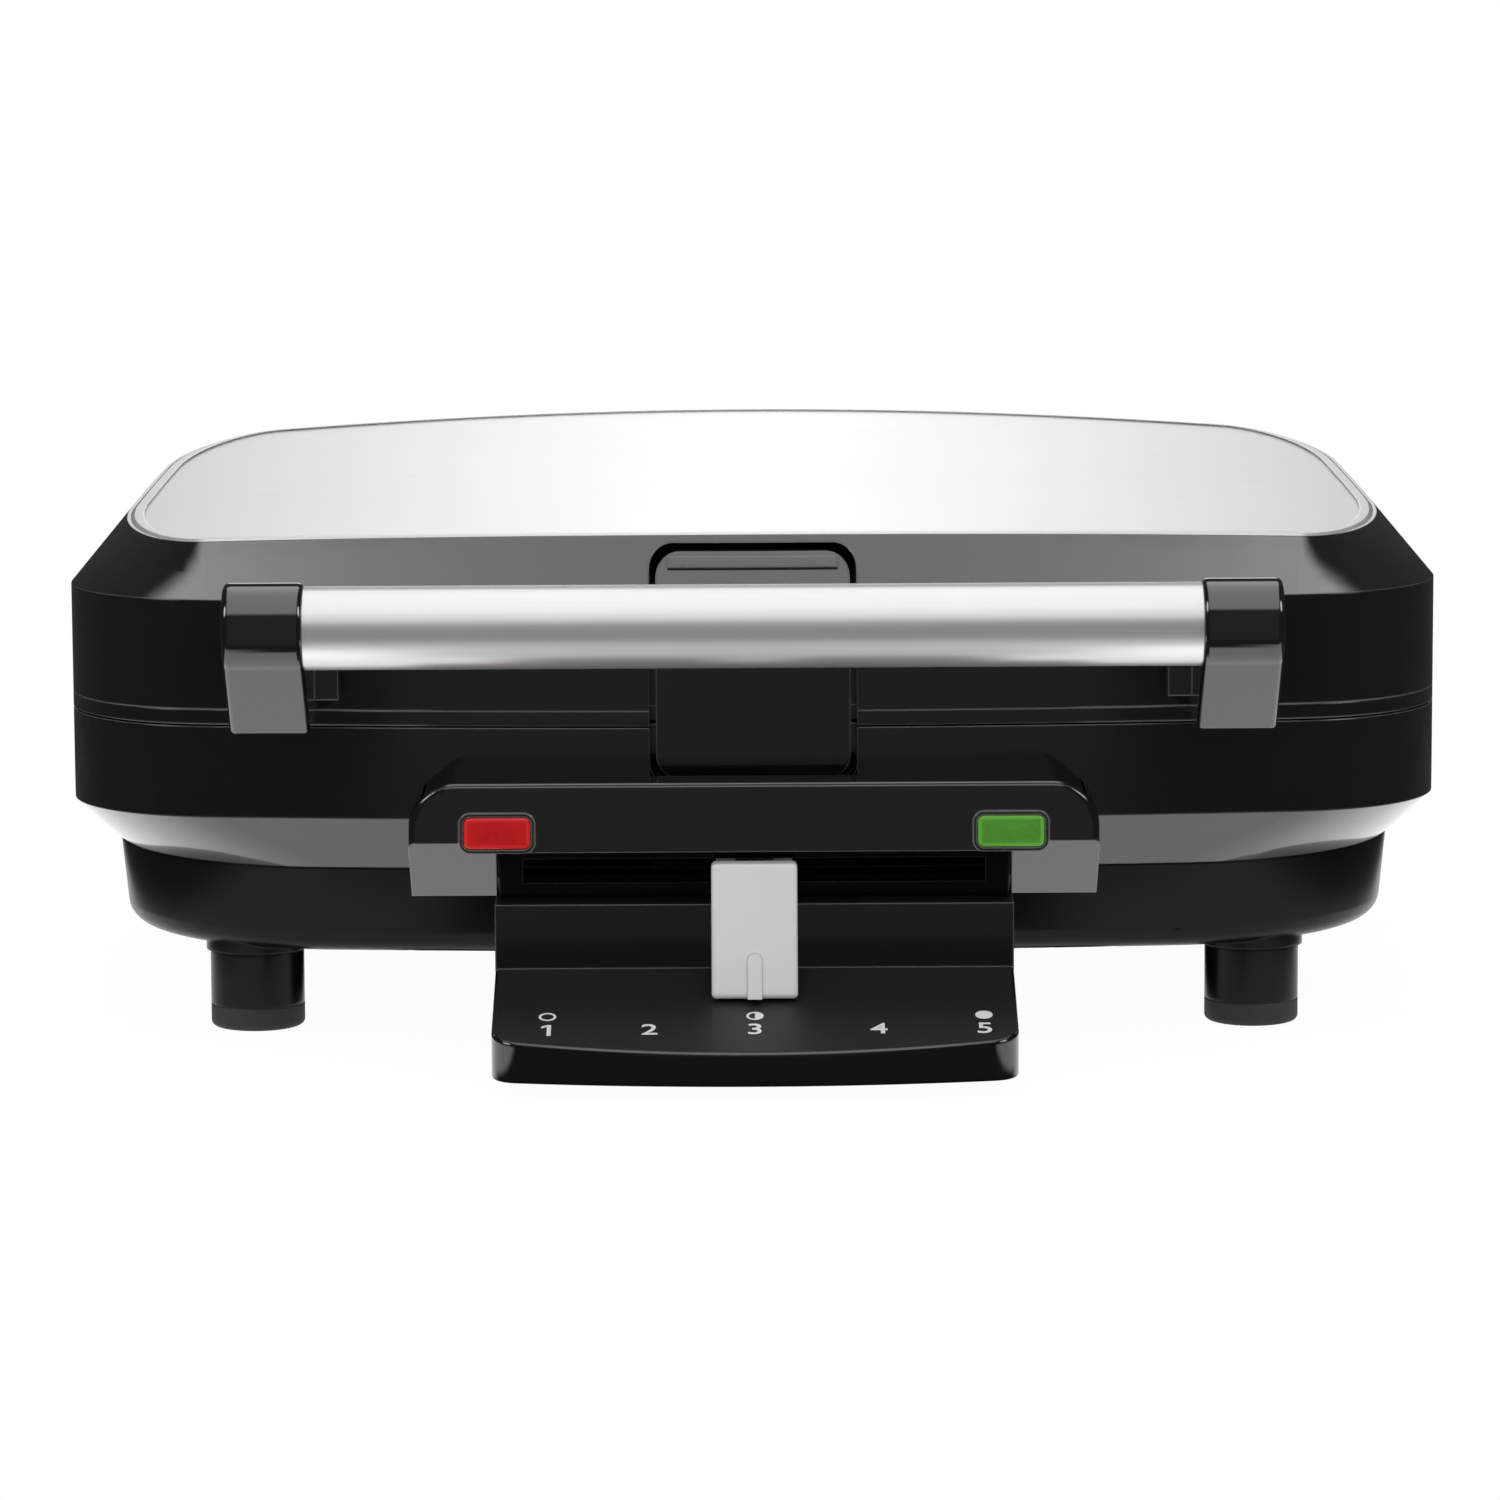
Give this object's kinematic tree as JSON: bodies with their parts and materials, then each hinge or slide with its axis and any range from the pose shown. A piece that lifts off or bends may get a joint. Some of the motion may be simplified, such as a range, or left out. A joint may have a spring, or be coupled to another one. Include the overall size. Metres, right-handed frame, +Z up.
{
  "type": "four-square hinged countertop waffle maker",
  "caption": "Black countertop waffle maker with a brushed steel lid panel, bar handle, front latch, indicator lenses and a sliding temperature control",
  "frame": {"origin": "middle of the box around the closed object, at table level under the feet", "axes": "x to the right seen from the front, y from the front with the handle to the rear with the hinge, z up"},
  "size_m": [0.296, 0.3745, 0.1093],
  "materials": {
    "black_gloss": "polished black moulding",
    "rubber_feet": "dark grey non-slip rubber",
    "rubber_gland": "black rubber",
    "steel_panel": "brushed side to side",
    "satin_aluminium": "satin anodised",
    "silver_plastic": "silver satin moulding",
    "white_plastic": "plain white",
    "red_lens": "clear red, unlit",
    "green_lens": "clear green, unlit",
    "lamp_glass": "small neon bulb",
    "nonstick_plate": "cast aluminium with a dark non-stick coat",
    "element_sheath": "dull heater sheath",
    "aluminium_sheet": "bright sheet",
    "zinc_steel": "zinc plated",
    "grey_nylon": "natural grey moulding",
    "brown_phenolic": "heat-proof moulding",
    "brass": "turned",
    "white_block": "ceramic-white moulding"
  },
  "bodies": {
    "base": {"base_pan": "black_gloss", "base_housing": "black_gloss", "hinge_bracket_left": "black_gloss", "hinge_bracket_right": "black_gloss", "control_pod": "black_gloss", "control_tray": "black_gloss", "foot_post_front_left": "black_gloss", "foot_post_front_right": "black_gloss", "foot_post_rear_left": "black_gloss", "foot_post_rear_right": "black_gloss", "foot_pad_front_left": "rubber_feet", "foot_pad_front_right": "rubber_feet", "foot_pad_rear_left": "rubber_feet", "foot_pad_rear_right": "rubber_feet", "cord_gland": "rubber_gland", "red_indicator_lens": "red_lens", "green_indicator_lens": "green_lens", "red_indicator_lamp": "lamp_glass", "green_indicator_lamp": "lamp_glass", "lower_plate": "nonstick_plate", "lower_heating_element": "element_sheath", "lower_heat_reflector": "aluminium_sheet", "base_pan_screws": "zinc_steel", "control_screws": "zinc_steel", "lower_reflector_screws": "zinc_steel", "lower_plate_screws": "zinc_steel", "latch_keeper": "zinc_steel", "hinge_pin_left": "zinc_steel", "hinge_pin_right": "zinc_steel", "slider_guide_rod": "zinc_steel", "thermal_fuse": "zinc_steel", "thermostat_body": "brown_phenolic", "thermostat_probe": "brass", "terminal_block": "white_block"},
    "lid": {"lid_shell": "black_gloss", "lid_top_panel": "steel_panel", "lid_frame": "black_gloss", "lid_frame_screws": "zinc_steel", "upper_plate": "nonstick_plate", "upper_heating_element": "element_sheath", "upper_reflector_screws": "zinc_steel", "upper_plate_screws": "zinc_steel", "upper_heat_reflector": "aluminium_sheet", "handle_bracket_left": "black_gloss", "handle_bracket_right": "black_gloss", "handle_tube": "satin_aluminium", "handle_screws": "zinc_steel", "hinge_arm_left": "black_gloss", "hinge_arm_right": "black_gloss", "latch_pin": "zinc_steel", "latch_spring": "zinc_steel"},
    "latch": {"latch_clip": "black_gloss"},
    "slider": {"slider_knob": "silver_plastic", "slider_pointer": "white_plastic", "slider_carriage": "grey_nylon"},
    "spindle": {"thermostat_spindle": "brass", "thermostat_pinion": "grey_nylon"}
  },
  "joints": [
    {"name": "lid_hinge", "type": "hinge", "parent": "base", "child": "lid", "pos_m": [0, 0.18075, 0.0705], "axis": [-1, 0, 0], "range_deg": [0, 100]},
    {"name": "latch_pivot", "type": "hinge", "parent": "lid", "child": "latch", "pos_m": [0, -0.12585, 0.0892], "axis": [-1, 0, 0], "range_deg": [-3, 6], "stiffness_Nm_per_rad": 0.05},
    {"name": "temperature_slide", "type": "slide", "parent": "base", "child": "slider", "axis": [1, 0, 0], "range_m": [-0.044, 0.044]},
    {"name": "thermostat_turn", "type": "hinge", "parent": "base", "child": "spindle", "pos_m": [0, -0.0865, 0.04], "axis": [0, 0, 1], "range_deg": [-121, 121]}
  ],
  "couplings": [
    {"joint": "thermostat_turn", "follows": "temperature_slide", "rad_per_m": 47.619}
  ]
}
